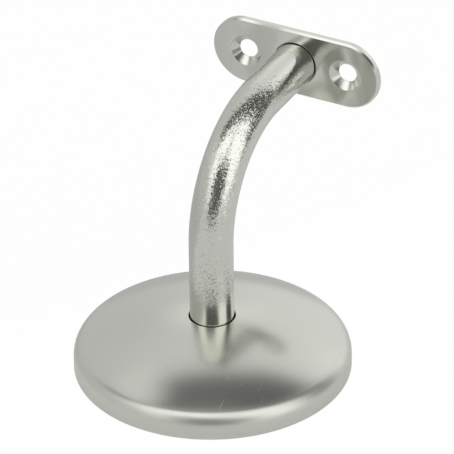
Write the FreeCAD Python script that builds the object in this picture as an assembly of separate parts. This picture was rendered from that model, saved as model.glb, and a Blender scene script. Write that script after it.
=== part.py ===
# Handrail bracket: a round steel bar, bent once, stands on a round wall flange and ends in a flat
# saddle that is screwed under the rail. A drawn cover hides the flange and its wall screws.
#
# Frame: the origin is the centre of the face that lies against the wall, +Z points straight out of
# the wall, the arm bends towards +Y, and the saddle's long side lies along X. Millimetres.
import FreeCAD, Part
import math
import os

# Arm: one solid round bar with a single right-angle bend
arm_diameter = 12.0
arm_rise = 37.5  # wall face to the start of the bend
bend_radius = 30.0  # to the bar's centre line
arm_reach = 19.5  # end of the bend to the front face of the saddle

# The bar passes through the flange and the saddle with a little play, and is welded from behind
bar_play = 0.25  # radial
weld_groove = 1.0  # depth of the 45 degree groove round the hole, filled and ground flush
weld_root = 0.4  # how far the weld runs down the hole beyond its groove

# Wall flange: a flat disc with countersunk screw holes
flange_thickness = 4.0
flange_edge_bevel = 0.5
flange_screw_count = 3
flange_screw_hole = 5.5  # diameter
flange_screw_head = 10.5  # diameter of the countersink at the surface
flange_screw_edge = 11.5  # flange's edge to the centre of a screw hole

# Cover: drawn from one sheet, a shallow crown that turns down into a short skirt
cover_diameter = 75.0
cover_height = 15.6  # wall face to the top of the crown's sphere
cover_sheet = 1.0
cover_skirt = 3.2  # straight part of the skirt
cover_shoulder = 4.5  # outside radius between the skirt and the crown
cover_hole_play = 0.3  # radial, round the bar
cover_hole_bevel = 0.25

# Saddle: a flat bar with round ends, its front edges softened by tumbling
saddle_length = 50.0
saddle_width = 19.5
saddle_thickness = 2.0
saddle_front_rounding = 0.5
saddle_back_bevel = 0.2
saddle_hole_spacing = 30.0
saddle_screw_hole = 5.3  # diameter
saddle_screw_head = 9.0  # diameter of the countersink at the surface
saddle_rim_bevel = 0.15  # on the rims of the holes in the front face

# Sizes that follow
arm_radius = arm_diameter / 2
bore_radius = arm_radius + bar_play
arm_axis_height = arm_rise + bend_radius
saddle_front = bend_radius + arm_reach
saddle_back = saddle_front + saddle_thickness
cover_radius = cover_diameter / 2
shoulder_centre_radius = cover_radius - cover_shoulder

ORIGIN = FreeCAD.Vector(0, 0, 0)
X_AXIS = FreeCAD.Vector(1, 0, 0)
Y_AXIS = FreeCAD.Vector(0, 1, 0)
Z_AXIS = FreeCAD.Vector(0, 0, 1)
ROUND_TOLERANCE = 1e-4


def crown_radius():
    """Outside radius of the crown's sphere, which meets the shoulder's arc without a crease."""
    drop = cover_height - cover_skirt
    spread = shoulder_centre_radius**2 + drop**2 - cover_shoulder**2
    return spread / (2 * (drop - cover_shoulder))


def crown_slope():
    """Angle from the axis, in radians, at which the shoulder takes over from the crown."""
    rise = cover_skirt - (cover_height - crown_radius())
    return math.atan2(shoulder_centre_radius, rise)


def cover_inside_radius(height):
    """Radius of the cover's inner wall at a height above the wall face."""
    above_skirt = height - cover_skirt
    if above_skirt <= 0:
        return cover_radius - cover_sheet
    shoulder = cover_shoulder - cover_sheet
    if above_skirt <= shoulder * math.cos(crown_slope()):
        return shoulder_centre_radius + math.sqrt(shoulder**2 - above_skirt**2)
    crown = crown_radius() - cover_sheet
    return math.sqrt(crown**2 - (height - cover_height + crown_radius()) ** 2)


def on_arc(centre_radius, centre_height, radius, from_axis):
    """Point of an arc in the XZ plane, at an angle in radians from the +Z direction."""
    return FreeCAD.Vector(
        centre_radius + radius * math.sin(from_axis),
        0,
        centre_height + radius * math.cos(from_axis),
    )


def arc_between(centre_radius, centre_height, radius, first, last):
    """Edge along an arc in the XZ plane, between two angles from the +Z direction."""
    points = [
        on_arc(centre_radius, centre_height, radius, angle)
        for angle in (first, (first + last) / 2, last)
    ]
    return Part.Arc(*points).toShape()


def line_between(start, end):
    """Straight edge between two points."""
    return Part.LineSegment(start, end).toShape()


def round_edges(shape, radius, height_axis, height):
    """Circular edges of one radius whose centres lie at a height along an axis."""
    return [
        edge
        for edge in shape.Edges
        if isinstance(edge.Curve, Part.Circle)
        and abs(edge.Curve.Radius - radius) < ROUND_TOLERANCE
        and abs(edge.Curve.Center.dot(height_axis) - height) < ROUND_TOLERANCE
    ]


def countersink(centre, inward, hole_diameter, head_diameter, depth):
    """Cutter for a through hole with a 90 degree countersink that opens at its centre point."""
    sink_depth = (head_diameter - hole_diameter) / 2
    hole = Part.makeCylinder(hole_diameter / 2, depth, centre, inward)
    sink = Part.makeCone(head_diameter / 2, hole_diameter / 2, sink_depth, centre, inward)
    return hole.fuse(sink)


def weld_fill(centre, inward):
    """Weld metal round the bar's end: a cone that fills the groove, and a short root below it."""
    groove_radius = bore_radius + weld_groove
    cone = Part.makeCone(groove_radius, bore_radius, weld_groove, centre, inward)
    root = Part.makeCylinder(bore_radius, weld_groove + weld_root, centre, inward)
    return cone.fuse(root)


def bar_hole(centre, inward, depth):
    """Cutter for the hole that takes the bar, with the weld's groove at its back."""
    bore = Part.makeCylinder(bore_radius, depth, centre, inward)
    return bore.fuse(weld_fill(centre, inward))


def make_arm():
    """The bent bar, flush with the wall face and the saddle's back, with its two welds."""
    foot = FreeCAD.Vector(0, 0, 0)
    bend_start = FreeCAD.Vector(0, 0, arm_rise)
    bend_centre = FreeCAD.Vector(0, bend_radius, arm_rise)
    bend_end = FreeCAD.Vector(0, bend_radius, arm_axis_height)
    tip = FreeCAD.Vector(0, saddle_back, arm_axis_height)
    rising = Part.makeCylinder(arm_radius, arm_rise, foot, Z_AXIS)
    section = Part.Face(Part.Wire(Part.Circle(bend_start, Z_AXIS, arm_radius).toShape()))
    bend = section.revolve(bend_centre, -X_AXIS, 90)
    reaching = Part.makeCylinder(arm_radius, (tip - bend_end).Length, bend_end, Y_AXIS)
    welds = [weld_fill(foot, Z_AXIS), weld_fill(tip, -Y_AXIS)]
    return rising.fuse([bend, reaching, *welds]).removeSplitter()


def make_wall_flange():
    """The disc that carries the bracket; the cover's inner wall seats on its beveled edge."""
    radius = cover_inside_radius(flange_thickness - flange_edge_bevel)
    disc = Part.makeCylinder(radius, flange_thickness)
    front_edge = round_edges(disc, radius, Z_AXIS, flange_thickness)
    disc = disc.makeChamfer(flange_edge_bevel, front_edge)
    cuts = [bar_hole(ORIGIN, Z_AXIS, flange_thickness)]
    hole_radius = radius - flange_screw_edge
    for index in range(flange_screw_count):
        angle = math.radians(360 * index / flange_screw_count - 90)
        centre = FreeCAD.Vector(
            hole_radius * math.cos(angle), hole_radius * math.sin(angle), flange_thickness
        )
        cuts.append(
            countersink(centre, -Z_AXIS, flange_screw_hole, flange_screw_head, flange_thickness)
        )
    return disc.cut(cuts)


def make_cover():
    """The drawn cover: one sheet of even thickness, open at the wall side, pierced for the bar."""
    slope = crown_slope()
    outer = crown_radius()
    sphere_height = cover_height - outer
    inner = outer - cover_sheet
    shoulder = cover_shoulder - cover_sheet
    hole_radius = arm_radius + cover_hole_play
    hole_outside = math.asin((hole_radius + cover_hole_bevel) / outer)
    hole_inside = math.asin(hole_radius / inner)
    flat = math.radians(90)
    bevel_top = on_arc(0, sphere_height, outer, hole_outside)
    bevel_foot = FreeCAD.Vector(hole_radius, 0, bevel_top.z - cover_hole_bevel)
    skirt_foot = FreeCAD.Vector(cover_radius, 0, 0)
    inner_foot = FreeCAD.Vector(cover_radius - cover_sheet, 0, 0)
    profile = Part.Wire(
        [
            line_between(
                skirt_foot, on_arc(shoulder_centre_radius, cover_skirt, cover_shoulder, flat)
            ),
            arc_between(shoulder_centre_radius, cover_skirt, cover_shoulder, flat, slope),
            arc_between(0, sphere_height, outer, slope, hole_outside),
            line_between(bevel_top, bevel_foot),
            line_between(bevel_foot, on_arc(0, sphere_height, inner, hole_inside)),
            arc_between(0, sphere_height, inner, hole_inside, slope),
            arc_between(shoulder_centre_radius, cover_skirt, shoulder, slope, flat),
            line_between(
                on_arc(shoulder_centre_radius, cover_skirt, shoulder, flat), inner_foot
            ),
            line_between(inner_foot, skirt_foot),
        ]
    )
    return Part.Face(profile).revolve(ORIGIN, Z_AXIS, 360)


def make_saddle_plate():
    """The flat bar under the rail, with the bar's hole between its two screw holes."""
    end_radius = saddle_width / 2
    end_centre = saddle_length / 2 - end_radius
    low = arm_axis_height - end_radius
    high = arm_axis_height + end_radius

    def at(x, z):
        return FreeCAD.Vector(x, saddle_front, z)

    outline = Part.Wire(
        [
            line_between(at(-end_centre, low), at(end_centre, low)),
            Part.Arc(
                at(end_centre, low), at(saddle_length / 2, arm_axis_height), at(end_centre, high)
            ).toShape(),
            line_between(at(end_centre, high), at(-end_centre, high)),
            Part.Arc(
                at(-end_centre, high), at(-saddle_length / 2, arm_axis_height), at(-end_centre, low)
            ).toShape(),
        ]
    )
    plate = Part.Face(outline).extrude(Y_AXIS * saddle_thickness)
    front = [edge for edge in plate.Edges if edge.BoundBox.YMax < saddle_front + ROUND_TOLERANCE]
    plate = plate.makeFillet(saddle_front_rounding, front)
    back = [edge for edge in plate.Edges if edge.BoundBox.YMin > saddle_back - ROUND_TOLERANCE]
    plate = plate.makeChamfer(saddle_back_bevel, back)
    cuts = [bar_hole(FreeCAD.Vector(0, saddle_back, arm_axis_height), -Y_AXIS, saddle_thickness)]
    for side in (-1, 1):
        centre = at(side * saddle_hole_spacing / 2, arm_axis_height)
        cuts.append(
            countersink(centre, Y_AXIS, saddle_screw_hole, saddle_screw_head, saddle_thickness)
        )
    plate = plate.cut(cuts)
    rims = round_edges(plate, saddle_screw_head / 2, Y_AXIS, saddle_front)
    rims += round_edges(plate, bore_radius, Y_AXIS, saddle_front)
    return plate.makeChamfer(saddle_rim_bevel, rims)


def main():
    """Write one STEP file for each piece."""
    os.makedirs("parts", exist_ok=True)
    pieces = {
        "arm": make_arm(),
        "wall_flange": make_wall_flange(),
        "cover_rosette": make_cover(),
        "saddle_plate": make_saddle_plate(),
    }
    for name, shape in pieces.items():
        shape.exportStep(f"parts/{name}.step")


main()
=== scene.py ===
"""Handrail bracket: the looks of its bent bar, drawn cover, saddle and flange, and a white studio.

Everything is in metres in the part's own frame: the origin is the centre of the face that lies
against the wall, +Z points out of the wall, and the arm bends towards +Y.
"""

import bmesh
import bpy
import logging
import math
from dataclasses import dataclass
from enum import Enum
from mathutils import Matrix, Vector


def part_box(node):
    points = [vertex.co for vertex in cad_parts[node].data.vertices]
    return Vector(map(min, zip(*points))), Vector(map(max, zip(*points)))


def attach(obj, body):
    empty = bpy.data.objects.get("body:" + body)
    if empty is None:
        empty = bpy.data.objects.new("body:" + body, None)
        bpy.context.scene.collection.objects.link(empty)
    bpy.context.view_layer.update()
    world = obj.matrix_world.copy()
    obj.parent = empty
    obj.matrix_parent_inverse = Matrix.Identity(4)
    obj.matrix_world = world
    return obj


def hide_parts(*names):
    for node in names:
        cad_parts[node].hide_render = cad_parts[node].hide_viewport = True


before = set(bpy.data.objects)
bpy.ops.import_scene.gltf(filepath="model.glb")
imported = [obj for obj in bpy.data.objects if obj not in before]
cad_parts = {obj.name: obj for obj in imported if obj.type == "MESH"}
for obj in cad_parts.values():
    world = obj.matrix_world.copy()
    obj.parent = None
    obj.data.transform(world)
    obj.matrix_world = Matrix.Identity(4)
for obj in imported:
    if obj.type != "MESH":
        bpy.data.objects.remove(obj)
log = logging.getLogger("handrail_bracket")

MM = 0.001
BODY = "root"
HALF_TURN = math.pi
QUARTER_TURN = math.pi / 2
X_AXIS = Vector((1, 0, 0))
Y_AXIS = Vector((0, 1, 0))
Z_AXIS = Vector((0, 0, 1))
MERGE_DISTANCE = 1e-4  # mm, points nearer than this are one
CREASE = 30  # degrees, past which an edge is shaded sharp
FINER_SHARE = 0.55  # strength of each finer layer of a noise against the layer before
WHITE = (1, 1, 1, 1)
FULL_WHITE = 1.01  # just over 1, so that it is shown as white


class Slot(Enum):
    """The record's material slots."""

    BAR = "bar_steel"
    COVER = "cover_steel"
    SADDLE = "saddle_steel"


# ---------------------------------------------------------------- materials


def linear(hex_colour: str) -> tuple[float, float, float, float]:
    """Turn an sRGB hex colour into the linear RGBA that a shader takes.

    Args:
        hex_colour: Six hex digits after a hash sign.

    Returns:
        Red, green, blue and a full alpha, all linear.
    """
    channels = []
    for start in (1, 3, 5):
        value = int(hex_colour[start : start + 2], 16) / 255
        channels.append(value / 12.92 if value <= 0.04045 else ((value + 0.055) / 1.055) ** 2.4)
    return (*channels, 1.0)


def add_node(tree: bpy.types.NodeTree, kind: str, inputs: dict | None = None, **settings) -> bpy.types.Node:
    """Add one shader node with its settings and links.

    Args:
        tree: The node tree that it joins.
        kind: The node's type name.
        inputs: Socket name or index to a value, or to an output socket that is linked to it.
        settings: Properties of the node itself.

    Returns:
        The new node.
    """
    node = tree.nodes.new(kind)
    for name, value in settings.items():
        setattr(node, name, value)
    for key, value in (inputs or {}).items():
        if isinstance(value, bpy.types.NodeSocket):
            tree.links.new(value, node.inputs[key])
        else:
            node.inputs[key].default_value = value
    return node


def ramp(
    tree: bpy.types.NodeTree,
    value: bpy.types.NodeSocket,
    start: float,
    end: float,
    low: float,
    high: float,
    shape: str = "SMOOTHSTEP",
) -> bpy.types.NodeSocket:
    """Lead a value from one level to another, and hold it at both ends.

    Args:
        tree: The node tree that it joins.
        value: The socket that is read.
        start: Its value where the ramp starts.
        end: Its value where the ramp ends.
        low: Level up to the start.
        high: Level from the end on.
        shape: How the level runs between the two.

    Returns:
        The socket with the level.
    """
    inputs = {"Value": value, 1: start, 2: end, 3: low, 4: high}
    return add_node(tree, "ShaderNodeMapRange", inputs, interpolation_type=shape).outputs[0]


def empty_tree(owner: bpy.types.Material | bpy.types.World) -> bpy.types.NodeTree:
    """Give a new material or world an empty node tree.

    Args:
        owner: The material or world.

    Returns:
        Its node tree.
    """
    owner.use_nodes = True
    owner.node_tree.nodes.clear()
    return owner.node_tree


@dataclass(frozen=True)
class Finish:
    """A plated or bare steel surface.

    Attributes:
        name: What the surface is and how it was made.
        colour: sRGB hex of the metal's reflection.
        roughness: Blur of the reflection.
    """

    name: str
    colour: str
    roughness: float

    def material(self) -> bpy.types.Material:
        """Build the finish as a node material.

        Returns:
            The material.
        """
        material = bpy.data.materials.new(self.name)
        tree = empty_tree(material)
        shader = add_node(
            tree,
            "ShaderNodeBsdfPrincipled",
            {"Base Color": linear(self.colour), "Metallic": 1.0, "Roughness": self.roughness},
        )
        self.dress(tree, shader)
        add_node(tree, "ShaderNodeOutputMaterial", {"Surface": shader.outputs["BSDF"]})
        return material

    def dress(self, tree: bpy.types.NodeTree, shader: bpy.types.Node) -> None:
        """Add what makes this finish its own; the plain one has nothing more."""


@dataclass(frozen=True)
class Ripple:
    """Unevenness of one size on a surface.

    Attributes:
        size: Distance from one high spot to the next, in mm.
        height: How far the high spots stand over the low ones, in mm.
        detail: How much smaller unevenness it carries.
    """

    size: float
    height: float
    detail: float = 0.0


@dataclass(frozen=True)
class Rippled(Finish):
    """A metal surface that is uneven in one or more sizes, and levels off near the foot.

    Attributes:
        ripples: Its unevenness, the largest first.
        level_below: Height in mm at and below which it lies smooth.
        level_fade: Height in mm over which the unevenness grows to its whole strength.
    """

    ripples: tuple[Ripple, ...] = ()
    level_below: float = -1.0
    level_fade: float = 0.5

    def growth(self, tree: bpy.types.NodeTree, place: bpy.types.NodeSocket) -> bpy.types.NodeSocket:
        """Give how much of the unevenness there is at each height.

        Args:
            tree: The material's node tree.
            place: Position in the object's own axes.

        Returns:
            A socket that is 0 where the surface lies smooth and 1 where it is wholly uneven.
        """
        height = add_node(tree, "ShaderNodeSeparateXYZ", {0: place}).outputs["Z"]
        start = self.level_below * MM
        return ramp(tree, height, start, start + self.level_fade * MM, 0.0, 1.0)

    def dress(self, tree: bpy.types.NodeTree, shader: bpy.types.Node) -> None:
        """Bend the reflections with one bump for each size of unevenness.

        Args:
            tree: The material's node tree.
            shader: Its shader.
        """
        place = add_node(tree, "ShaderNodeTexCoord").outputs["Object"]
        whole = self.growth(tree, place)
        normal = None
        for ripple in self.ripples:
            noise = add_node(
                tree,
                "ShaderNodeTexNoise",
                {
                    "Vector": place,
                    "Scale": 1 / (ripple.size * MM),
                    "Detail": ripple.detail,
                    "Roughness": FINER_SHARE,
                },
            )
            sockets = {"Strength": whole, "Distance": ripple.height * MM, "Height": noise.outputs[0]}
            if normal is not None:
                sockets["Normal"] = normal
            normal = add_node(tree, "ShaderNodeBump", sockets).outputs[0]
        tree.links.new(normal, shader.inputs["Normal"])


@dataclass(frozen=True)
class Grained(Rippled):
    """Bright plating over a coarse skin: every grain leans its own way and sends its own spark.

    Attributes:
        grain: Width of one grain in mm.
        lean: How far a grain leans whose own tilt is one unit long, as a share of the normal's length.
        rarity: Power that keeps most grains nearly level and lets a few lean far.
        level_end: Distance along Y, in mm, where the grain has died away towards the far end.
        level_run: Distance in mm over which it dies away before that.
    """

    grain: float = 0.2
    lean: float = 0.085
    rarity: float = 2.5
    level_end: float = 42.0
    level_run: float = 14.0

    def dress(self, tree: bpy.types.NodeTree, shader: bpy.types.Node) -> None:
        """Bend the reflections, then tilt each grain by a fixed amount of its own.

        Args:
            tree: The material's node tree.
            shader: Its shader.
        """
        super().dress(tree, shader)
        rippled = shader.inputs["Normal"].links[0].from_socket
        place = add_node(tree, "ShaderNodeTexCoord").outputs["Object"]
        cells = add_node(tree, "ShaderNodeTexVoronoi", {"Vector": place, "Scale": 1 / (self.grain * MM)})
        tilt = add_node(
            tree,
            "ShaderNodeVectorMath",
            {0: cells.outputs["Color"], 1: (2, 2, 2), 2: (-1, -1, -1)},
            operation="MULTIPLY_ADD",
        )
        length = add_node(tree, "ShaderNodeVectorMath", {0: tilt.outputs[0]}, operation="LENGTH")
        few = add_node(
            tree, "ShaderNodeMath", {0: length.outputs["Value"], 1: self.rarity}, operation="POWER"
        )
        reach = add_node(tree, "ShaderNodeSeparateXYZ", {0: place}).outputs["Y"]
        fade_start = (self.level_end - self.level_run) * MM
        lean = ramp(tree, reach, fade_start, self.level_end * MM, self.lean, 0.0)
        grown = add_node(tree, "ShaderNodeMath", {0: self.growth(tree, place), 1: lean}, operation="MULTIPLY")
        amount = add_node(
            tree, "ShaderNodeMath", {0: few.outputs[0], 1: grown.outputs[0]}, operation="MULTIPLY"
        )
        tilt = add_node(
            tree,
            "ShaderNodeVectorMath",
            {0: tilt.outputs[0], "Scale": amount.outputs[0]},
            operation="SCALE",
        )
        bent = add_node(tree, "ShaderNodeVectorMath", {0: rippled, 1: tilt.outputs[0]}, operation="ADD")
        normal = add_node(tree, "ShaderNodeVectorMath", {0: bent.outputs[0]}, operation="NORMALIZE")
        tree.links.new(normal.outputs[0], shader.inputs["Normal"])


@dataclass(frozen=True)
class Swollen(Rippled):
    """A plate that stands slightly proud around the bar welded to its middle.

    Attributes:
        centre: The bar's axis, in mm.
        inner: Distance in mm from it where the plate is highest.
        outer: Distance in mm from it where the plate lies flat again.
        swell: Height in mm between the two.
    """

    centre: tuple[float, float, float] = (0.0, 0.0, 0.0)
    inner: float = 5.0
    outer: float = 17.0
    swell: float = 0.9

    def dress(self, tree: bpy.types.NodeTree, shader: bpy.types.Node) -> None:
        """Bend the reflections, and turn them outwards around the bar.

        Args:
            tree: The material's node tree.
            shader: Its shader.
        """
        super().dress(tree, shader)
        rippled = shader.inputs["Normal"].links[0].from_socket
        place = add_node(tree, "ShaderNodeTexCoord").outputs["Object"]
        flat = add_node(tree, "ShaderNodeVectorMath", {0: place, 1: (1, 0, 1)}, operation="MULTIPLY")
        middle = Vector(self.centre) * MM
        gap = add_node(
            tree,
            "ShaderNodeVectorMath",
            {0: flat.outputs[0], 1: (middle.x, 0, middle.z)},
            operation="DISTANCE",
        )
        height = ramp(tree, gap.outputs["Value"], self.inner * MM, self.outer * MM, 1.0, 0.0)
        bump = add_node(
            tree, "ShaderNodeBump", {"Distance": self.swell * MM, "Height": height, "Normal": rippled}
        )
        tree.links.new(bump.outputs[0], shader.inputs["Normal"])


@dataclass(frozen=True)
class Brushed(Rippled):
    """A satin surface, brushed harder where it turns down at the shoulder.

    Attributes:
        crown_radius: Distance in mm from the axis where the harder brushing starts.
        shoulder_run: Distance in mm over which it grows to its whole strength.
        shoulder_roughness: Blur of the reflection beyond it.
        scratch_width: Width in mm of the few fine scratches.
        scratch_stretch: How many times longer than wide a scratch is.
        scratch_turn: Direction of the scratches, in degrees about the axis.
        scratch_start: Noise level at which a scratch begins to show; it leaves only the few highest spots.
        scratch_full: Noise level at which it shows wholly.
        scratch_blur: How much more a scratch blurs than the metal beside it.
    """

    crown_radius: float = 33.0
    shoulder_run: float = 5.0
    shoulder_roughness: float = 0.42
    scratch_width: float = 0.35
    scratch_stretch: float = 25.0
    scratch_turn: float = 10.0
    scratch_start: float = 0.79
    scratch_full: float = 0.85
    scratch_blur: float = 0.16

    def dress(self, tree: bpy.types.NodeTree, shader: bpy.types.Node) -> None:
        """Bend the reflections, and blur them more towards the shoulder and along the scratches.

        Args:
            tree: The material's node tree.
            shader: Its shader.
        """
        super().dress(tree, shader)
        place = add_node(tree, "ShaderNodeTexCoord").outputs["Object"]
        flat = add_node(tree, "ShaderNodeVectorMath", {0: place, 1: (1, 1, 0)}, operation="MULTIPLY")
        radius = add_node(tree, "ShaderNodeVectorMath", {0: flat.outputs[0]}, operation="LENGTH")
        blur = ramp(
            tree,
            radius.outputs["Value"],
            self.crown_radius * MM,
            (self.crown_radius + self.shoulder_run) * MM,
            self.roughness,
            self.shoulder_roughness,
        )
        squeeze = 1 / self.scratch_stretch
        along = add_node(
            tree,
            "ShaderNodeMapping",
            {
                "Vector": place,
                "Rotation": (0, 0, math.radians(self.scratch_turn)),
                "Scale": (1, squeeze, squeeze),
            },
        )
        strokes = add_node(
            tree,
            "ShaderNodeTexNoise",
            {"Vector": along.outputs[0], "Scale": 1 / (self.scratch_width * MM), "Detail": 0.0},
        )
        scratch = ramp(
            tree,
            strokes.outputs[0],
            self.scratch_start,
            self.scratch_full,
            0.0,
            self.scratch_blur,
            shape="LINEAR",
        )
        rough = add_node(tree, "ShaderNodeMath", {0: blur, 1: scratch}, operation="ADD")
        tree.links.new(rough.outputs[0], shader.inputs["Roughness"])


# ---------------------------------------------------------------- mesh helpers


def box_mm(node: str) -> tuple[Vector, Vector]:
    """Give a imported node's lowest and highest corner in millimetres."""
    low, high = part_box(node)
    return Vector(low) / MM, Vector(high) / MM


def circle_loop(bm: bmesh.types.BMesh, centre: Vector, radius: float, axis: Vector, segments: int) -> list:
    """Draw a circle about an axis.

    Args:
        bm: The mesh that it joins.
        centre: Its centre.
        radius: Its radius.
        axis: The direction that it faces.
        segments: How many edges it has.

    Returns:
        Its edges.
    """
    turn = Z_AXIS.rotation_difference(axis).to_matrix().to_4x4()
    made = bmesh.ops.create_circle(
        bm, cap_ends=False, radius=radius, segments=segments, matrix=Matrix.Translation(centre) @ turn
    )
    return list(dict.fromkeys(edge for vert in made["verts"] for edge in vert.link_edges))


def skin(
    bm: bmesh.types.BMesh,
    edges: list,
    axis: Vector,
    centres: list[Vector],
    sections: list[tuple[float, float]],
) -> list:
    """Extrude a closed loop of edges through a row of sections.

    Args:
        bm: The mesh.
        edges: The loop, which is the first section.
        axis: The direction of depth.
        centres: Centres of the loop's arcs at no depth: one for a circle, two for a loop with round ends.
        sections: Pairs of the arcs' radius and the depth.

    Returns:
        The edges of the last section.
    """
    for (radius, depth), (next_radius, next_depth) in zip(sections, sections[1:]):
        made = bmesh.ops.extrude_edge_only(bm, edges=edges)["geom"]
        verts = [item for item in made if isinstance(item, bmesh.types.BMVert)]
        edges = [item for item in made if isinstance(item, bmesh.types.BMEdge)]
        nearest = {vert: min(centres, key=lambda centre: (vert.co - centre).length) for vert in verts}
        for centre in centres:
            near = [vert for vert in verts if nearest[vert] is centre]
            about = Matrix.Translation(-centre - axis * depth)
            bmesh.ops.scale(bm, verts=near, vec=(next_radius / radius,) * 3, space=about)
        bmesh.ops.translate(bm, verts=verts, vec=axis * (next_depth - depth))
    return edges


def quarter_round(radius: float, steps: int) -> list[tuple[float, float]]:
    """Points of a rounded edge.

    Args:
        radius: Its radius.
        steps: How many bands it has.

    Returns:
        Pairs of the inset from the side and the depth below the face, from the face to the side.
    """
    angles = [QUARTER_TURN * step / steps for step in range(steps + 1)]
    return [(radius * (1 - math.sin(angle)), radius * (1 - math.cos(angle))) for angle in angles]


def finish_piece(
    bm: bmesh.types.BMesh, name: str, material: bpy.types.Material
) -> bpy.types.Object:
    """Turn a shape drawn in millimetres into a smooth shaded piece that rides on the bracket.

    Args:
        bm: The finished shape, which is used up.
        name: The piece's name.
        material: Its material.

    Returns:
        The new object.
    """
    bmesh.ops.remove_doubles(bm, verts=bm.verts, dist=MERGE_DISTANCE)
    bmesh.ops.recalc_face_normals(bm, faces=bm.faces)
    bmesh.ops.scale(bm, verts=bm.verts, vec=(MM, MM, MM))
    mesh = bpy.data.meshes.new(name)
    bm.to_mesh(mesh)
    bm.free()
    mesh.shade_smooth()
    mesh.set_sharp_from_angle(angle=math.radians(CREASE))
    mesh.materials.append(material)
    piece = bpy.data.objects.new(name, mesh)
    bpy.context.scene.collection.objects.link(piece)
    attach(piece, BODY)
    log.info("%s: %d faces", name, len(mesh.polygons))
    return piece


# ---------------------------------------------------------------- the pieces


@dataclass
class Arm:
    """The round bar, bent once, and the two welds that hold it.

    Attributes:
        radius: The bar's radius.
        rise: Straight length from the wall face to the bend.
        reach: Where the bar ends, along Y.
        axis_height: The bar's axis above the wall, beyond the bend.
        weld_radius: Outside radius of the ground welds.
        segments: Facets round the bar.
        bend_steps: Bands along the bend.
        end_bevel: Bevel on the bar's two ends.
        weld_depth: Depth of the welds' grooves.
    """

    radius: float
    rise: float
    reach: float
    axis_height: float
    weld_radius: float
    segments: int = 128
    bend_steps: int = 64
    end_bevel: float = 0.15
    weld_depth: float = 1.0

    @classmethod
    def from_frame(cls, bend_radius: float, weld_width: float) -> "Arm":
        """Read the bar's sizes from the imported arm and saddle.

        Args:
            bend_radius: Radius of the bend, to the bar's centre line.
            weld_width: How far the ground welds reach outside the bar.

        Returns:
            The arm.
        """
        _, high = box_mm("arm")
        saddle_low, saddle_high = box_mm("saddle_plate")
        axis_height = (saddle_low.z + saddle_high.z) / 2
        return cls(high.x - weld_width, axis_height - bend_radius, high.y, axis_height, high.x)

    def build_bar(self, material: bpy.types.Material) -> bpy.types.Object:
        """Sweep the bar along its path.

        Args:
            material: The bar's finish.

        Returns:
            The bar.
        """
        bm = bmesh.new()
        bevel = self.end_bevel
        small = self.radius - bevel
        bend_radius = self.axis_height - self.rise
        foot = circle_loop(bm, Vector(), small, Z_AXIS, self.segments)
        sections = [(small, 0), (self.radius, bevel), (self.radius, self.rise)]
        bend_start = skin(bm, foot, Z_AXIS, [Vector()], sections)
        spun = bmesh.ops.spin(
            bm,
            geom=bend_start,
            cent=(0, bend_radius, self.rise),
            axis=-X_AXIS,
            angle=QUARTER_TURN,
            steps=self.bend_steps,
        )
        bend_end = [edge for edge in spun["geom_last"] if isinstance(edge, bmesh.types.BMEdge)]
        sections = [(self.radius, bend_radius), (self.radius, self.reach - bevel), (small, self.reach)]
        tip = skin(bm, bend_end, Y_AXIS, [Z_AXIS * self.axis_height], sections)
        bmesh.ops.contextual_create(bm, geom=foot)
        bmesh.ops.contextual_create(bm, geom=tip)
        piece = finish_piece(bm, "arm_bar", material)
        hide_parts("arm")
        return piece

    def build_weld(
        self, name: str, centre: Vector, inward: Vector, material: bpy.types.Material
    ) -> bpy.types.Object:
        """Make the weld metal round one end of the bar, ground flush.

        Args:
            name: The weld's name.
            centre: Centre of the bar's end.
            inward: Direction along the bar, into it.
            material: Its finish.

        Returns:
            The weld.
        """
        bm = bmesh.new()
        root = self.weld_radius - self.weld_depth
        sections = [(self.radius, 0), (self.weld_radius, 0), (root, self.weld_depth)]
        sections += [(self.radius, self.weld_depth), (self.radius, 0)]
        inside = circle_loop(bm, centre, self.radius, inward, self.segments)
        skin(bm, inside, inward, [centre], sections)
        return finish_piece(bm, name, material)

    def build(self, bar: bpy.types.Material, weld: bpy.types.Material) -> list[bpy.types.Object]:
        """Build the bar and both welds.

        Args:
            bar: The bar's finish.
            weld: The welds' finish.

        Returns:
            The bar, the weld at the wall and the weld at the saddle.
        """
        return [
            self.build_bar(bar),
            self.build_weld("wall_weld", Vector(), Z_AXIS, weld),
            self.build_weld("saddle_weld", Vector((0, self.reach, self.axis_height)), -Y_AXIS, weld),
        ]


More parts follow.
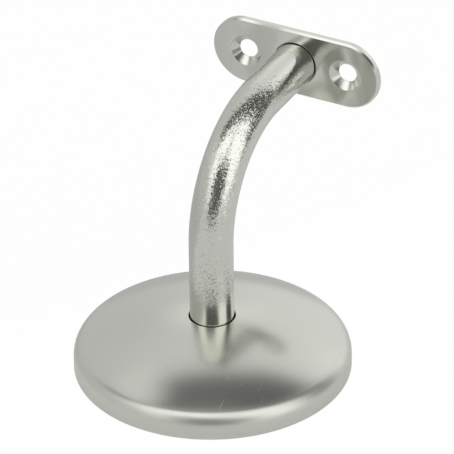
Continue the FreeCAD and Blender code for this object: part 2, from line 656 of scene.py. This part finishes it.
@dataclass
class Cover:
    """The drawn cover: a crown, a shoulder and a short skirt, all of one sheet.

    Attributes:
        radius: Outside radius of the skirt.
        hole_height: Height of the crown's top edge round the bar.
        hole_radius: Radius of the hole for the bar.
        skirt: Height of the straight skirt.
        shoulder: Outside radius of the shoulder's arc.
        sheet: Thickness of the sheet.
        rim_bevel: Bevel on the sheet's cut edges.
        rim_angle: Angle in degrees past which an edge is one of those cut edges.
        segments: Facets round the cover.
        shoulder_steps: Bands along the shoulder.
        crown_steps: Bands along the crown.
        halvings: Halvings of the range in which the crown's radius is sought.
    """

    radius: float
    hole_height: float
    hole_radius: float
    skirt: float = 3.2
    shoulder: float = 4.5
    sheet: float = 1.0
    rim_bevel: float = 0.25
    rim_angle: float = 60
    segments: int = 200
    shoulder_steps: int = 40
    crown_steps: int = 100
    halvings: int = 60

    @classmethod
    def from_frame(cls, bar_radius: float, play: float) -> "Cover":
        """Read the cover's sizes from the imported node.

        Args:
            bar_radius: Radius of the bar that passes through.
            play: Gap round the bar.

        Returns:
            The cover.
        """
        _, high = box_mm("cover_rosette")
        return cls(high.x, high.z, bar_radius + play)

    def crown(self) -> tuple[float, float]:
        """Sphere of the crown that meets the shoulder's arc without a crease.

        Returns:
            The sphere's radius, and the angle from the axis where the shoulder takes over.
        """
        spread = self.radius - self.shoulder
        hole = self.hole_radius + self.rim_bevel
        low, high = self.radius, 10 * self.radius
        for _ in range(self.halvings):
            sphere = (low + high) / 2
            centre = self.hole_height - math.sqrt(sphere**2 - hole**2)
            gap = math.hypot(spread, self.skirt - centre) - (sphere - self.shoulder)
            low, high = (sphere, high) if gap > 0 else (low, sphere)
        return sphere, math.atan2(spread, self.skirt - centre)

    def build(self, material: bpy.types.Material) -> bpy.types.Object:
        """Draw the profile, spin it round the axis and give it the sheet's thickness.

        Args:
            material: The cover's finish.

        Returns:
            The cover.
        """
        sphere, slope = self.crown()
        hole = self.hole_radius
        centre = self.hole_height - math.sqrt(sphere**2 - (hole + self.rim_bevel) ** 2)
        bm = bmesh.new()
        foot = bm.verts.new((self.radius, 0, 0))
        top = bmesh.ops.extrude_vert_indiv(bm, verts=[foot])["verts"]
        bmesh.ops.translate(bm, verts=top, vec=Z_AXIS * self.skirt)
        arcs = [
            (Vector((self.radius - self.shoulder, 0, self.skirt)), QUARTER_TURN - slope, self.shoulder_steps),
            (Z_AXIS * centre, slope - math.asin(hole / sphere), self.crown_steps),
        ]
        last = top[0]
        for arc_centre, angle, steps in arcs:
            spun = bmesh.ops.spin(bm, geom=[last], cent=arc_centre, axis=-Y_AXIS, angle=angle, steps=steps)
            last = next(item for item in spun["geom_last"] if isinstance(item, bmesh.types.BMVert))
        bmesh.ops.spin(
            bm,
            geom=list(bm.verts) + list(bm.edges),
            cent=(0, 0, 0),
            axis=Z_AXIS,
            angle=2 * HALF_TURN,
            steps=self.segments,
            use_merge=True,
        )
        bmesh.ops.remove_doubles(bm, verts=bm.verts, dist=MERGE_DISTANCE)
        bmesh.ops.recalc_face_normals(bm, faces=bm.faces)
        bmesh.ops.solidify(bm, geom=bm.faces, thickness=self.sheet)
        bmesh.ops.recalc_face_normals(bm, faces=bm.faces)
        self.bevel_rims(bm)
        piece = finish_piece(bm, "cover_shell", material)
        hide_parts("cover_rosette")
        return piece

    def bevel_rims(self, bm: bmesh.types.BMesh) -> None:
        """Take the sharpness off the sheet's cut edges at the hole and the foot.

        Args:
            bm: The cover's mesh, with its thickness.
        """
        least = math.radians(self.rim_angle)
        rims = [edge for edge in bm.edges if edge.calc_face_angle(0) > least]
        bmesh.ops.bevel(
            bm,
            geom=rims,
            offset=self.rim_bevel,
            offset_type="OFFSET",
            segments=3,
            profile=0.5,
            affect="EDGES",
            material=-1,
            clamp_overlap=True,
        )


# Rims of a countersunk screw hole, softened by tumbling, as shares of the rims' rounding. The head's
# rim is outside the head's radius and below the front face; the cone's foot is outside the hole's
# radius and below the end of the cone.
HEAD_RIM = ((1.0, 0.0), (0.35, 0.12), (-0.2, 0.45), (-0.6, 0.85))
CONE_FOOT = ((0.4, -0.15), (0.1, 0.2), (0.0, 0.6))
BACK_RIM = 0.6


@dataclass
class Saddle:
    """The flat bar under the rail, with round ends, a bevel round its front and three holes.

    Attributes:
        half_length: Half its length, along X.
        half_width: Half its width, which is the radius of its ends.
        front: The front face, along Y.
        back: The back face, along Y.
        axis_height: Its middle above the wall.
        bar_radius: Radius of the bar that it is welded to.
        front_bevel: Flat bevel at 45 degrees round the front face.
        back_bevel: Bevel on the back edge.
        hole_spacing: Distance between the two screw holes.
        hole_radius: Radius of the screw holes.
        head_radius: Radius of their countersinks at the front face.
        rim_rounding: Rounding of the holes' rims.
        rim_steps: Bands along the rounding of the bar's hole.
        bar_play: Gap round the bar.
        weld_groove: Depth and width of the weld's groove at the back.
        flat_margin: Band of flat face kept beside each edge and rim.
        end_steps: Bands round each end.
        hole_segments: Facets round each hole.
    """

    half_length: float
    half_width: float
    front: float
    back: float
    axis_height: float
    bar_radius: float
    front_bevel: float = 0.5
    back_bevel: float = 0.2
    hole_spacing: float = 30
    hole_radius: float = 2.65
    head_radius: float = 4.5
    rim_rounding: float = 0.15
    rim_steps: int = 4
    bar_play: float = 0.25
    weld_groove: float = 1.0
    flat_margin: float = 0.15
    end_steps: int = 56
    hole_segments: int = 72

    @property
    def thickness(self) -> float:
        """Thickness of the plate."""
        return self.back - self.front

    @property
    def end_centre(self) -> float:
        """Distance from the middle to the centre of either round end."""
        return self.half_length - self.half_width

    @classmethod
    def from_frame(cls, bar_radius: float) -> "Saddle":
        """Read the saddle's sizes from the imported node.

        Args:
            bar_radius: Radius of the bar that it is welded to.

        Returns:
            The saddle.
        """
        low, high = box_mm("saddle_plate")
        middle = (low.z + high.z) / 2
        return cls(high.x, high.z - middle, low.y, high.y, middle, bar_radius)

    def outline(self, bm: bmesh.types.BMesh, radius: float) -> list:
        """Draw a loop with round ends in the plane of the front face.

        Args:
            bm: The mesh that it joins.
            radius: Radius of its ends.

        Returns:
            Its edges.
        """
        start = bm.verts.new((self.end_centre, self.front, self.axis_height - radius))
        last = start
        for side in (1, -1):
            if side < 0:
                last = bmesh.ops.extrude_vert_indiv(bm, verts=[last])["verts"][0]
                bmesh.ops.translate(bm, verts=[last], vec=-X_AXIS * 2 * self.end_centre)
            spun = bmesh.ops.spin(
                bm,
                geom=[last],
                cent=(side * self.end_centre, self.front, self.axis_height),
                axis=-Y_AXIS,
                angle=HALF_TURN,
                steps=self.end_steps,
            )
            last = next(item for item in spun["geom_last"] if isinstance(item, bmesh.types.BMVert))
        bm.edges.new((last, start))
        return list(bm.edges)

    def build(self, material: bpy.types.Material) -> bpy.types.Object:
        """Skin the edge and the holes, and fill the two faces between them.

        Args:
            material: The saddle's finish.

        Returns:
            The saddle.
        """
        middle = Vector((0, self.front, self.axis_height))
        edge_sections = self.edge()
        bm = bmesh.new()
        rims = self.outline(bm, edge_sections[0][0])
        ends = [middle + X_AXIS * self.end_centre, middle - X_AXIS * self.end_centre]
        skin(bm, rims, Y_AXIS, ends, edge_sections)
        for x, sections in self.holes():
            centre = middle + X_AXIS * x
            rim = circle_loop(bm, centre, sections[0][0], Y_AXIS, self.hole_segments)
            skin(bm, rim, Y_AXIS, [centre], sections)
            rims += rim
        made = bmesh.ops.triangle_fill(
            bm, use_beauty=True, use_dissolve=False, edges=rims, normal=-Y_AXIS
        )
        flat = [item for item in made["geom"] if isinstance(item, bmesh.types.BMFace)]
        copied = bmesh.ops.duplicate(bm, geom=flat)
        back_verts = [item for item in copied["geom"] if isinstance(item, bmesh.types.BMVert)]
        bmesh.ops.translate(bm, verts=back_verts, vec=Y_AXIS * self.thickness)
        piece = finish_piece(bm, "saddle_body", material)
        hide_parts("saddle_plate")
        return piece

    def edge(self) -> list[tuple[float, float]]:
        """Sections of the plate's edge.

        Returns:
            Pairs of the ends' radius and the depth, the first and last of one radius.
        """
        side = self.half_width
        flat = side - self.front_bevel - self.flat_margin
        return [
            (flat, 0),
            (side - self.front_bevel, 0),
            (side, self.front_bevel),
            (side, self.thickness - self.back_bevel),
            (side - self.back_bevel, self.thickness),
            (side - self.back_bevel - self.flat_margin, self.thickness),
            (flat, self.thickness),
        ]

    def holes(self) -> list[tuple[float, list[tuple[float, float]]]]:
        """Sections of the bar's hole and of the two countersunk screw holes.

        The first and the last section of a hole have one radius, so both faces share one fill.

        Returns:
            For each hole its place along X, and its pairs of radius and depth.
        """
        thickness = self.thickness
        soft = self.rim_rounding
        margin = self.flat_margin
        bore = self.bar_radius + self.bar_play
        groove = bore + self.weld_groove
        flat = groove + margin
        bar_hole = [(flat, 0), (bore + soft + margin, 0)]
        bar_hole += [(bore + inset, depth) for inset, depth in quarter_round(soft, self.rim_steps)]
        bar_hole += [(bore, thickness - self.weld_groove), (groove, thickness), (flat, thickness)]
        sink = self.head_radius - self.hole_radius
        flat = self.head_radius + soft + margin
        back = soft * BACK_RIM
        screw_hole = [(flat, 0)]
        screw_hole += [(self.head_radius + soft * out, soft * down) for out, down in HEAD_RIM]
        screw_hole += [(self.hole_radius + soft * out, sink + soft * down) for out, down in CONE_FOOT]
        screw_hole += [(self.hole_radius, thickness - back), (self.hole_radius + back, thickness)]
        screw_hole += [(flat, thickness)]
        side = self.hole_spacing / 2
        return [(0, bar_hole), (-side, screw_hole), (side, screw_hole)]


# ---------------------------------------------------------------- studio


@dataclass
class Camera:
    """A long lens, looking down on the bracket.

    Attributes:
        azimuth: Where it stands, in degrees from the front towards the right.
        elevation: How far it looks down, in degrees.
        roll: Its turn about its own view, in degrees.
        distance: Distance in metres from what it looks at.
        lens: Its focal length in mm.
        aim: What it looks at.
        clip_end: Distance in metres past which it sees nothing.
    """

    azimuth: float = 28.07
    elevation: float = 31.91
    roll: float = -0.78
    distance: float = 1.45298
    lens: float = 436.07
    aim: Vector = Vector((7.41, -4.74, 47.68)) * MM
    clip_end: float = 20.0

    def build(self) -> None:
        """Place the camera and make it the scene's."""
        around, up_angle = math.radians(self.azimuth), math.radians(self.elevation)
        level = math.cos(up_angle)
        back = Vector((math.sin(around) * level, -math.cos(around) * level, math.sin(up_angle)))
        right = Vector((math.cos(around), math.sin(around), 0))
        up = back.cross(right)
        roll = Matrix.Rotation(math.radians(self.roll), 3, back)
        axes = Matrix((roll @ right, roll @ up, back)).transposed()
        data = bpy.data.cameras.new("camera")
        data.lens = self.lens
        data.clip_end = self.clip_end
        camera = bpy.data.objects.new("camera", data)
        camera.matrix_world = Matrix.Translation(self.aim + back * self.distance) @ axes.to_4x4()
        bpy.context.scene.collection.objects.link(camera)
        bpy.context.scene.camera = camera


@dataclass(frozen=True)
class TentPanel:
    """A soft-edged rectangle on the tent's chart, brighter or darker than its cloth.

    The chart is the tent as seen from the bracket, looking straight up: its middle is the zenith,
    the horizon is a circle 90 degrees away, and the camera stands beyond its lower rim.

    Attributes:
        right: Middle of the panel, in degrees towards the camera's right.
        front: Middle of the panel, in degrees towards the camera.
        half_width: Half its width in degrees.
        half_depth: Half its depth in degrees.
        turn: Turn in the chart, in degrees.
        soft: Share of the half width and depth over which its edge fades.
        level: Its brightness.
    """

    right: float
    front: float
    half_width: float
    half_depth: float
    turn: float
    soft: float
    level: float

    def hang(
        self, tree: bpy.types.NodeTree, chart: bpy.types.NodeSocket, under: bpy.types.NodeSocket
    ) -> bpy.types.NodeSocket:
        """Lay the panel over what the tent already shows.

        Args:
            tree: The world's node tree.
            chart: The place on the chart in degrees.
            under: The brightness so far.

        Returns:
            The socket with the new brightness.
        """
        local = add_node(
            tree,
            "ShaderNodeMapping",
            {
                "Vector": chart,
                "Location": (self.right, self.front, 0),
                "Rotation": (0, 0, math.radians(self.turn)),
                "Scale": (self.half_width, self.half_depth, 1),
            },
            vector_type="TEXTURE",
        )
        distance = add_node(tree, "ShaderNodeVectorMath", {0: local.outputs[0]}, operation="ABSOLUTE")
        sides = add_node(tree, "ShaderNodeSeparateXYZ", {0: distance.outputs[0]})
        masks = [
            ramp(tree, sides.outputs[side], 1 - self.soft, 1 + self.soft, 1.0, 0.0) for side in ("X", "Y")
        ]
        mask = add_node(tree, "ShaderNodeMath", {0: masks[0], 1: masks[1]}, operation="MULTIPLY")
        mix = add_node(
            tree, "ShaderNodeMix", {0: mask.outputs[0], 2: under, 3: self.level}, data_type="FLOAT"
        )
        return mix.outputs[0]


@dataclass(frozen=True)
class Card:
    """A small glowing card beside the bracket that only its reflections show.

    Attributes:
        name: Where it stands.
        middle: Its middle in mm: towards the camera's right, towards the camera, and up.
        size: Its width and depth in mm.
        fade: Share of its width over which it fades out towards the right.
        level: Its brightness.
    """

    name: str
    middle: Vector
    size: Vector
    fade: float
    level: float

    def place(self, azimuth: float) -> None:
        """Put the card on the stage.

        Args:
            azimuth: Where the camera stands, in degrees from the front.
        """
        bm = bmesh.new()
        bmesh.ops.create_grid(bm, x_segments=1, y_segments=1, size=0.5)
        bmesh.ops.scale(bm, verts=bm.verts, vec=(self.size.x * MM, self.size.y * MM, 1))
        right, front, up = self.middle * MM
        move = Matrix.Rotation(math.radians(azimuth), 4, "Z") @ Matrix.Translation((right, -front, up))
        bmesh.ops.transform(bm, verts=bm.verts, matrix=move)
        mesh = bpy.data.meshes.new(self.name)
        bm.to_mesh(mesh)
        bm.free()
        material = bpy.data.materials.new(self.name)
        tree = empty_tree(material)
        turned = add_node(
            tree,
            "ShaderNodeVectorRotate",
            {
                "Vector": add_node(tree, "ShaderNodeTexCoord").outputs["Object"],
                "Angle": -math.radians(azimuth),
            },
            rotation_type="Z_AXIS",
        )
        across = add_node(tree, "ShaderNodeSeparateXYZ", {0: turned.outputs[0]})
        edge = (self.middle.x + self.size.x / 2) * MM
        fade_start = edge - self.fade * self.size.x * MM
        shown = ramp(tree, across.outputs["X"], fade_start, edge, 1.0, 0.0)
        glow = add_node(tree, "ShaderNodeEmission", {"Color": WHITE, "Strength": self.level})
        clear = add_node(tree, "ShaderNodeBsdfTransparent")
        mix = add_node(tree, "ShaderNodeMixShader", {0: shown, 1: clear.outputs[0], 2: glow.outputs[0]})
        add_node(tree, "ShaderNodeOutputMaterial", {"Surface": mix.outputs[0]})
        mesh.materials.append(material)
        card = bpy.data.objects.new(self.name, mesh)
        card.visible_camera = False
        card.visible_shadow = False
        bpy.context.scene.collection.objects.link(card)


@dataclass
class Studio:
    """A white floor inside a light tent.

    Attributes:
        azimuth: Where the camera stands, in degrees from the front.
        floor_radius: Radius of the floor in metres.
        floor_segments: Edges of the floor.
        painted_shade_turn: Direction in which the paper's painted shade gets lighter, in degrees clockwise
            from the camera's right.
        painted_shade_run: Where it starts and where it stops getting lighter, in mm in that direction.
        painted_shade_levels: How much light the paper sends back on its darker and on its lighter side; the
            difference is painted shade, which the metal mirrors.
        seen_glow: Share of the paper that is plain white to the camera.
        mirrored_glow: Share of it that is plain white in the metal's reflections.
        cloth_run: Where the cloth starts and where it stops getting lighter, in degrees to the right.
        cloth_levels: Brightness of the cloth at the left and at the right.
        cards: The cards beside the bracket.
        panels: The panels of the tent, each laid over the ones before it.
    """

    azimuth: float
    floor_radius: float = 4.0
    floor_segments: int = 96
    # Painted shade on the floor: the paper's colour gets lighter along one direction.
    painted_shade_turn: float = 57.0
    painted_shade_run: tuple[float, float] = (-52.0, -22.0)
    painted_shade_levels: tuple[float, float] = (0.47, 0.8)
    seen_glow: float = 0.97
    mirrored_glow: float = 0.3
    cloth_run: tuple[float, float] = (-70.0, 50.0)
    cloth_levels: tuple[float, float] = (0.62, 0.92)
    cards: tuple[Card, ...] = (
        Card("left_card", Vector((-62, -12, 108)), Vector((70, 55)), 0.5, 0.8),
    )
    panels: tuple[TentPanel, ...] = (
        TentPanel(-45, -75, 40, 30, 0, 0.5, 0.65),
        TentPanel(2, -58, 12, 8, 0, 0.5, 0.95),
        TentPanel(62, -41, 24, 10, 0, 0.5, 1.15),
        TentPanel(16, 36, 68, 30, 0, 0.22, 1.44),
        TentPanel(7, 34, 4, 22, 8, 0.8, 0.8),
        TentPanel(5, -9.5, 56, 11.5, 0, 0.3, 0.12),
        TentPanel(46, -8.5, 36, 15.5, 0, 0.3, 0.11),
        TentPanel(88, -5, 28, 23, 0, 0.3, 0.12),
        TentPanel(-1, 67.5, 37, 25, 16, 0.24, 0.14),
    )

    def build_floor(self) -> None:
        """Lay the floor, white to the camera, with the bracket's soft shadow, and with painted shade on one
        side that the metal mirrors.
        """
        bm = bmesh.new()
        bmesh.ops.create_circle(bm, cap_ends=True, radius=self.floor_radius, segments=self.floor_segments)
        mesh = bpy.data.meshes.new("floor")
        bm.to_mesh(mesh)
        bm.free()
        material = bpy.data.materials.new("white_paper_floor")
        tree = empty_tree(material)
        place = add_node(tree, "ShaderNodeTexCoord").outputs["Object"]
        turned = add_node(
            tree,
            "ShaderNodeVectorRotate",
            {"Vector": place, "Angle": -math.radians(self.azimuth - self.painted_shade_turn)},
            rotation_type="Z_AXIS",
        )
        sides = add_node(tree, "ShaderNodeSeparateXYZ", {0: turned.outputs[0]})
        # Painted shade: the paper's colour is darker on one side and stands in for light that falls unevenly
        # on the floor, as the metal mirrors it.
        start, end = self.painted_shade_run
        shade = ramp(tree, sides.outputs["X"], start * MM, end * MM, *self.painted_shade_levels)
        paper = add_node(tree, "ShaderNodeBsdfDiffuse", {"Color": shade})
        glow = add_node(tree, "ShaderNodeEmission", {"Color": WHITE, "Strength": FULL_WHITE})
        path = add_node(tree, "ShaderNodeLightPath")
        rays = (("Is Camera Ray", self.seen_glow), ("Is Glossy Ray", self.mirrored_glow))
        seen, mirrored = [
            add_node(tree, "ShaderNodeMath", {0: path.outputs[ray], 1: share}, operation="MULTIPLY")
            for ray, share in rays
        ]
        share = add_node(
            tree,
            "ShaderNodeMath",
            {0: seen.outputs[0], 1: mirrored.outputs[0]},
            operation="ADD",
            use_clamp=True,
        )
        mix = add_node(
            tree, "ShaderNodeMixShader", {0: share.outputs[0], 1: paper.outputs[0], 2: glow.outputs[0]}
        )
        add_node(tree, "ShaderNodeOutputMaterial", {"Surface": mix.outputs[0]})
        mesh.materials.append(material)
        floor = bpy.data.objects.new("floor", mesh)
        bpy.context.scene.collection.objects.link(floor)

    def chart(self, tree: bpy.types.NodeTree) -> bpy.types.NodeSocket:
        """Turn a direction into its place on the tent's chart, in degrees.

        Args:
            tree: The world's node tree.

        Returns:
            The socket with the place: right, front, nothing.
        """
        direction = add_node(tree, "ShaderNodeTexCoord").outputs["Generated"]
        turned = add_node(
            tree,
            "ShaderNodeVectorRotate",
            {"Vector": direction, "Angle": -math.radians(self.azimuth)},
            rotation_type="Z_AXIS",
        )
        parts = add_node(tree, "ShaderNodeSeparateXYZ", {0: turned.outputs[0]})
        flat = add_node(
            tree, "ShaderNodeVectorMath", {0: turned.outputs[0], 1: (1, -1, 0)}, operation="MULTIPLY"
        )
        length = add_node(tree, "ShaderNodeVectorMath", {0: flat.outputs[0]}, operation="LENGTH")
        angle = add_node(
            tree, "ShaderNodeMath", {0: length.outputs["Value"], 1: parts.outputs["Z"]}, operation="ARCTAN2"
        )
        degrees = add_node(tree, "ShaderNodeMath", {0: angle.outputs[0]}, operation="DEGREES")
        way = add_node(tree, "ShaderNodeVectorMath", {0: flat.outputs[0]}, operation="NORMALIZE")
        place = add_node(
            tree, "ShaderNodeVectorMath", {0: way.outputs[0], "Scale": degrees.outputs[0]}, operation="SCALE"
        )
        return place.outputs[0]

    def build_world(self) -> None:
        """Hang the tent: cloth that is brighter on the right, and its panels."""
        world = bpy.data.worlds.new("light_tent")
        tree = empty_tree(world)
        chart = self.chart(tree)
        sides = add_node(tree, "ShaderNodeSeparateXYZ", {0: chart})
        level = ramp(tree, sides.outputs["X"], *self.cloth_run, *self.cloth_levels)
        for panel in self.panels:
            level = panel.hang(tree, chart, level)
        tent = add_node(tree, "ShaderNodeBackground", {"Color": WHITE, "Strength": level})
        white = add_node(tree, "ShaderNodeBackground", {"Color": WHITE, "Strength": FULL_WHITE})
        path = add_node(tree, "ShaderNodeLightPath")
        mix = add_node(
            tree,
            "ShaderNodeMixShader",
            {0: path.outputs["Is Camera Ray"], 1: tent.outputs[0], 2: white.outputs[0]},
        )
        add_node(tree, "ShaderNodeOutputWorld", {"Surface": mix.outputs[0]})
        bpy.context.scene.world = world

    def build(self) -> None:
        """Lay the floor, hang the tent and place the cards."""
        self.build_floor()
        self.build_world()
        for card in self.cards:
            card.place(self.azimuth)
        bpy.context.scene.view_settings.view_transform = "Standard"


def main() -> None:
    """Build the bracket's pieces and the studio in order."""
    logging.basicConfig(level=logging.INFO, format="%(name)s %(message)s")
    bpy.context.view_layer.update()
    arm = Arm.from_frame(bend_radius=30, weld_width=1.25)
    # Nickel over drawn bar. The plating follows a coarse skin of grains, of which most lie nearly level
    # and a few lean far, so the eye sees a dark and bright speckle. It may be finer on the real bar, and
    # is drawn as coarse as it needs to show. The foot and the far end stay smooth.
    bar_steel = Grained(
        "nickel_plated_bar",
        "#D6D7CF",
        0.13,
        ripples=(Ripple(6, 0.08), Ripple(0.8, 0.03)),
        level_below=17,
        level_fade=12,
    ).material()
    # Nickel over drawn sheet, brushed to a satin that blurs what it mirrors.
    cover_steel = Brushed(
        "satin_nickel_sheet", "#D6D7CF", 0.22, ripples=(Ripple(14, 0.03), Ripple(0.3, 0.0015, 1.0))
    ).material()
    # Nickel over a tumbled plate: bright, with soft dents. It is shaded as if the weld had pulled it up
    # a little round the bar, which turns the bar's mirror image outwards.
    saddle_steel = Swollen(
        "tumbled_nickel_plate",
        "#D6D7CF",
        0.16,
        ripples=(Ripple(7, 0.12, 1.0), Ripple(0.5, 0.006, 1.0)),
        centre=(0, 0, arm.axis_height),
    ).material()
    # Dull zinc over the turned flange and the two welds, which are all hidden from the front.
    flange_steel = Finish("zinc_plated_flange", "#A9A9A4", 0.35).material()
    arm.build(bar_steel, flange_steel)
    Cover.from_frame(arm.radius, play=0.3).build(cover_steel)
    Saddle.from_frame(arm.radius).build(saddle_steel)
    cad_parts["wall_flange"].material_slots[0].material = flange_steel
    camera = Camera()
    camera.build()
    Studio(camera.azimuth).build()


if __name__ == "__main__":
    main()
